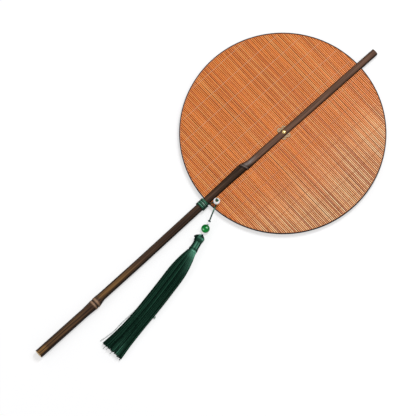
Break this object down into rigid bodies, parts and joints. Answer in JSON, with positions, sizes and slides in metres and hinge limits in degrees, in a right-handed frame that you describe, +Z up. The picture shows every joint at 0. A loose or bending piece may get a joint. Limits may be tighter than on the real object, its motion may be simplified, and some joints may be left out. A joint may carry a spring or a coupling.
{
  "type": "round hand fan",
  "caption": "Rigid round hand fan: a disc of bamboo splints clamped in a split bamboo stick by a brass rivet and a cord binding, with a bead pendant and a silk tassel.",
  "frame": {"origin": "on the plane the fan lies on, under the middle of the stick's length and midway across the disc", "axes": "+Y along the stick from butt to tip, +Z up out of the front face, +X across the disc"},
  "size_m": [0.24, 0.529, 0.0188],
  "materials": {
    "dark_bamboo": "smoked dark bamboo, satin rind with long grain and pale ridges at the nodes",
    "splint_bamboo": "thin orange-brown bamboo splints, satin",
    "black_tape": "matt black woven tape",
    "pale_thread": "thin twisted thread",
    "brass": "polished brass",
    "aged_brass": "antique brass",
    "green_cord": "twisted satin cord",
    "green_silk": "dark green silk strands with a soft sheen",
    "white_glaze": "glossy white",
    "jade_stone": "polished translucent green stone"
  },
  "bodies": {
    "fan": {"bamboo_stick": "dark_bamboo", "splint_mat": "splint_bamboo", "edge_tape": "black_tape", "front_flower_washer": "aged_brass", "back_flower_washer": "aged_brass", "dome_stud": "brass", "rivet_post": "brass", "cord_binding": "green_cord", "stopper_knot": "green_cord", "warp_thread_01": "pale_thread", "warp_thread_02": "pale_thread", "warp_thread_03": "pale_thread", "warp_thread_04": "pale_thread", "warp_thread_05": "pale_thread", "warp_thread_06": "pale_thread", "warp_thread_07": "pale_thread", "warp_thread_08": "pale_thread", "warp_thread_09": "pale_thread", "warp_thread_10": "pale_thread", "warp_thread_11": "pale_thread", "warp_thread_12": "pale_thread"},
    "white_bead": {"white_bead": "white_glaze"},
    "pendant": {"pendant_cord": "green_cord", "cord_knot": "green_cord"},
    "drop": {"drop_cord": "green_cord"},
    "bead_stack": {"upper_spacer_bead": "white_glaze", "jade_bead": "jade_stone", "lower_spacer_bead": "white_glaze"},
    "tassel": {"tassel_head": "green_silk", "tassel_neck": "green_silk", "neck_tie": "green_cord", "tassel_skirt": "green_silk"}
  },
  "joints": [
    {"name": "white_bead_spin", "type": "hinge", "parent": "fan", "child": "white_bead", "pos_m": [0.0086, 0.0073, 0.01349], "axis": [0, 0, 1], "continuous": true},
    {"name": "pendant_swing", "type": "hinge", "parent": "fan", "child": "pendant", "pos_m": [0.00935, 0.0073, 0.00868], "axis": [0, 0, 1], "range_deg": [-5, 30]},
    {"name": "drop_lift", "type": "hinge", "parent": "pendant", "child": "drop", "pos_m": [0.01889, -0.01374, 0.0051], "axis": [-0.9379, -0.3469, 0], "range_deg": [-90, 100]},
    {"name": "bead_stack_spin", "type": "hinge", "parent": "drop", "child": "bead_stack", "pos_m": [0.01889, -0.01374, 0.0051], "axis": [0.3469, -0.9379, 0], "continuous": true},
    {"name": "tassel_sway", "type": "hinge", "parent": "drop", "child": "tassel", "pos_m": [0.02534, -0.03117, 0.0051], "axis": [0, 0, 1], "range_deg": [-3, 25]}
  ]
}
